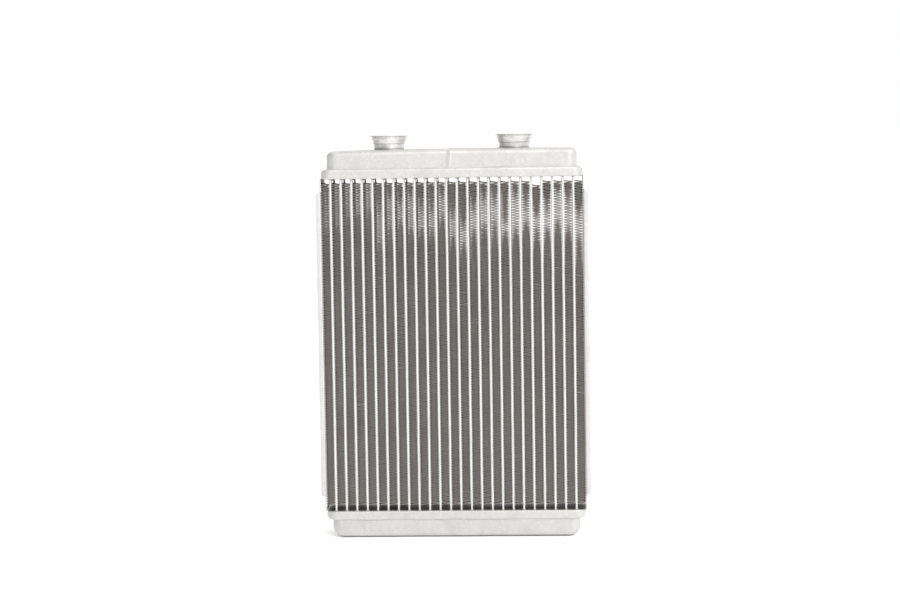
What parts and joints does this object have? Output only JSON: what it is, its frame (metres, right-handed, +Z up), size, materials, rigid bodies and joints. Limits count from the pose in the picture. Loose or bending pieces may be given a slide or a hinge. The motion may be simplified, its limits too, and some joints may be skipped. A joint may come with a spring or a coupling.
{
  "type": "car heater radiator",
  "caption": "Brazed aluminium heater radiator: flat tubes and folded fins between two pressed tanks, with two flared pipe necks on the top tank.",
  "frame": {"origin": "centre of the footprint, on the underside of the bottom tank", "axes": "+Z up along the tubes towards the necks, +X along the tanks towards the outlet neck, -Y out of the front face"},
  "size_m": [0.1758, 0.0312, 0.261],
  "materials": {
    "tank_sheet": "matte as-brazed aluminium with faint flux stains",
    "header_sheet": "as-brazed aluminium with flux specks",
    "side_plate_sheet": "rolled aluminium sheet, lightly brushed",
    "neck_metal": "turned aluminium with fine lathe rings",
    "tube_metal": "bright extruded aluminium",
    "fin_metal": "thin louvred aluminium strip",
    "baffle_sheet": "as-brazed aluminium"
  },
  "bodies": {
    "root": {"top_tank": "tank_sheet", "bottom_tank": "tank_sheet", "top_header": "header_sheet", "bottom_header": "header_sheet", "baffle": "baffle_sheet", "left_side_plate": "side_plate_sheet", "right_side_plate": "side_plate_sheet", "inlet_neck": "neck_metal", "outlet_neck": "neck_metal", "tube_01": "tube_metal", "tube_02": "tube_metal", "tube_03": "tube_metal", "tube_04": "tube_metal", "tube_05": "tube_metal", "tube_06": "tube_metal", "tube_07": "tube_metal", "tube_08": "tube_metal", "tube_09": "tube_metal", "tube_10": "tube_metal", "tube_11": "tube_metal", "tube_12": "tube_metal", "tube_13": "tube_metal", "tube_14": "tube_metal", "tube_15": "tube_metal", "tube_16": "tube_metal", "tube_17": "tube_metal", "tube_18": "tube_metal", "tube_19": "tube_metal", "tube_20": "tube_metal", "tube_21": "tube_metal", "tube_22": "tube_metal", "tube_23": "tube_metal", "tube_24": "tube_metal", "fin_01": "fin_metal", "fin_02": "fin_metal", "fin_03": "fin_metal", "fin_04": "fin_metal", "fin_05": "fin_metal", "fin_06": "fin_metal", "fin_07": "fin_metal", "fin_08": "fin_metal", "fin_09": "fin_metal", "fin_10": "fin_metal", "fin_11": "fin_metal", "fin_12": "fin_metal", "fin_13": "fin_metal", "fin_14": "fin_metal", "fin_15": "fin_metal", "fin_16": "fin_metal", "fin_17": "fin_metal", "fin_18": "fin_metal", "fin_19": "fin_metal", "fin_20": "fin_metal", "fin_21": "fin_metal", "fin_22": "fin_metal", "fin_23": "fin_metal", "fin_24": "fin_metal", "fin_25": "fin_metal"}
  },
  "joints": []
}
